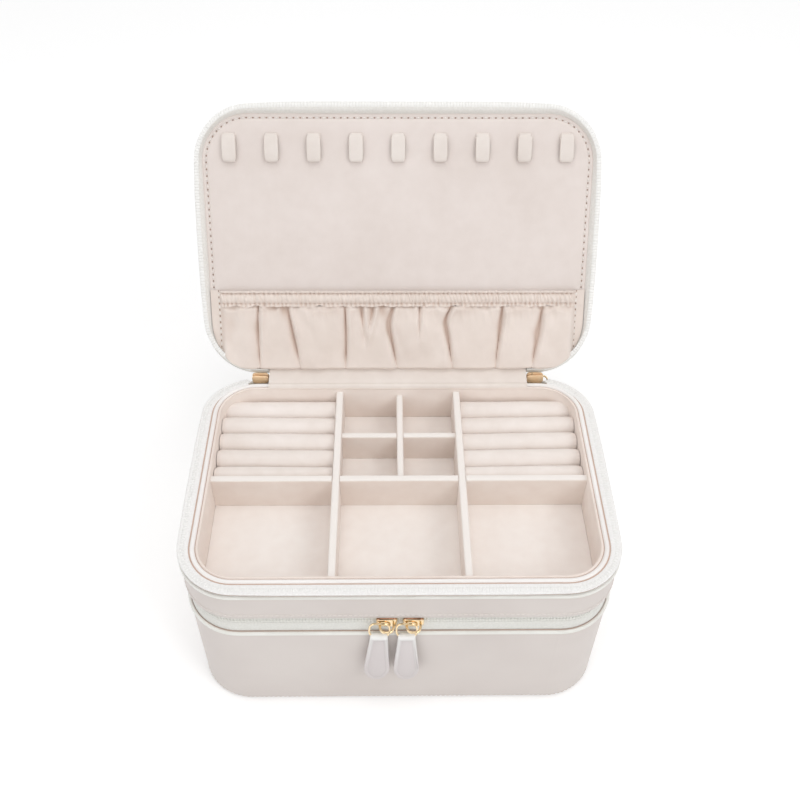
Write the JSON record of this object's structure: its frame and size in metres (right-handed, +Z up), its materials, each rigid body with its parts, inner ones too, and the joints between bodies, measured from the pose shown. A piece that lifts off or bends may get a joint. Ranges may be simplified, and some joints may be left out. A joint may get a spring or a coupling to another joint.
{
  "type": "jewelry box",
  "caption": "Two-tier zip-around jewellery case with a hinged divided tray, ring rolls and a padded lid with necklace loops and a gathered pocket.",
  "frame": {"origin": "middle of the base's flat underside", "axes": "+Z up, +X to the right along the front, +Y towards the hinges; the lid is open at rest"},
  "size_m": [0.234, 0.2491, 0.2564],
  "materials": {
    "outer_leather": "fine-grained artificial leather, satin",
    "piping": "satin cord cover",
    "board": "plain greyboard, hidden",
    "suede": "brushed suede, matte",
    "divider_suede": "brushed suede over board, matte",
    "padding": "padded suede rolls, matte",
    "foam": "open-cell foam, hidden",
    "zip_tape": "woven tape, matte",
    "zip_coil": "moulded coil, satin",
    "hinge_fabric": "sewn hinge fabric, matte",
    "gold": "polished rose-gold plate",
    "tab_leather": "fine-grained artificial leather, satin",
    "strap": "suede straps, matte",
    "gathered_cloth": "soft gathered cloth, matte"
  },
  "bodies": {
    "base": {"base_cover": "outer_leather", "base_board": "board", "base_lining": "suede", "base_piping": "piping", "base_zip_tape": "zip_tape", "base_zip_coil": "zip_coil", "hinge_strip_lower": "hinge_fabric"},
    "tray": {"tray_cover": "outer_leather", "tray_board": "board", "tray_piping": "piping", "tray_frame": "outer_leather", "tray_floor": "board", "tray_underside": "suede", "tray_floor_lining": "suede", "middle_zip_tape": "zip_tape", "middle_zip_coil": "zip_coil", "hinge_strip_upper": "hinge_fabric", "lid_hinge_strip": "hinge_fabric", "tray_zip_tape": "zip_tape", "tray_zip_coil": "zip_coil", "column_divider_left": "divider_suede", "column_divider_right": "divider_suede", "cross_divider": "divider_suede", "centre_divider": "divider_suede", "centre_cross_divider": "divider_suede", "ring_roll_left_1": "padding", "ring_roll_left_2": "padding", "ring_roll_left_3": "padding", "ring_roll_left_4": "padding", "ring_roll_left_5": "padding", "ring_roll_right_1": "padding", "ring_roll_right_2": "padding", "ring_roll_right_3": "padding", "ring_roll_right_4": "padding", "ring_roll_right_5": "padding", "top_slider_left": "gold", "top_slider_right": "gold"},
    "lid": {"lid_cover": "outer_leather", "lid_board": "board", "lid_foam": "foam", "lid_lining_panel": "suede", "lid_piping": "piping", "lid_zip_tape": "zip_tape", "lid_zip_coil": "zip_coil", "lid_hinge_leaf": "hinge_fabric", "necklace_loops": "strap", "pocket_cloth": "gathered_cloth", "pocket_elastic": "gathered_cloth"},
    "front_slider_left": {"slider_left": "gold"},
    "front_slider_right": {"slider_right": "gold"},
    "front_pull_left": {"pull_ring_left": "gold", "pull_tab_left": "tab_leather"},
    "front_pull_right": {"pull_ring_right": "gold", "pull_tab_right": "tab_leather"},
    "top_pull_left": {"top_pull_ring_left": "gold", "top_pull_tab_left": "tab_leather"},
    "top_pull_right": {"top_pull_ring_right": "gold", "top_pull_tab_right": "tab_leather"}
  },
  "joints": [
    {"name": "tray_hinge", "type": "hinge", "parent": "base", "child": "tray", "pos_m": [0, 0.0774, 0.0852], "axis": [-1, 0, 0], "range_deg": [0, 85]},
    {"name": "lid_hinge", "type": "hinge", "parent": "tray", "child": "lid", "pos_m": [0, 0.0774, 0.1145], "axis": [-1, 0, 0], "range_deg": [-117, 0]},
    {"name": "left_slider_run", "type": "slide", "parent": "base", "child": "front_slider_left", "axis": [-1, 0, 0], "range_m": [0, 0.07]},
    {"name": "right_slider_run", "type": "slide", "parent": "base", "child": "front_slider_right", "axis": [1, 0, 0], "range_m": [0, 0.07]},
    {"name": "left_pull_swing", "type": "hinge", "parent": "front_slider_left", "child": "front_pull_left", "pos_m": [-0.007, -0.0789, 0.0851], "axis": [-1, 0, 0], "range_deg": [0, 40]},
    {"name": "right_pull_swing", "type": "hinge", "parent": "front_slider_right", "child": "front_pull_right", "pos_m": [0.007, -0.0789, 0.0851], "axis": [-1, 0, 0], "range_deg": [0, 40]},
    {"name": "top_left_pull_swing", "type": "hinge", "parent": "tray", "child": "top_pull_left", "pos_m": [-0.084, 0.0789, 0.1109], "axis": [1, 0, 0], "range_deg": [0, 40]},
    {"name": "top_right_pull_swing", "type": "hinge", "parent": "tray", "child": "top_pull_right", "pos_m": [0.084, 0.0789, 0.1109], "axis": [1, 0, 0], "range_deg": [0, 40]}
  ]
}
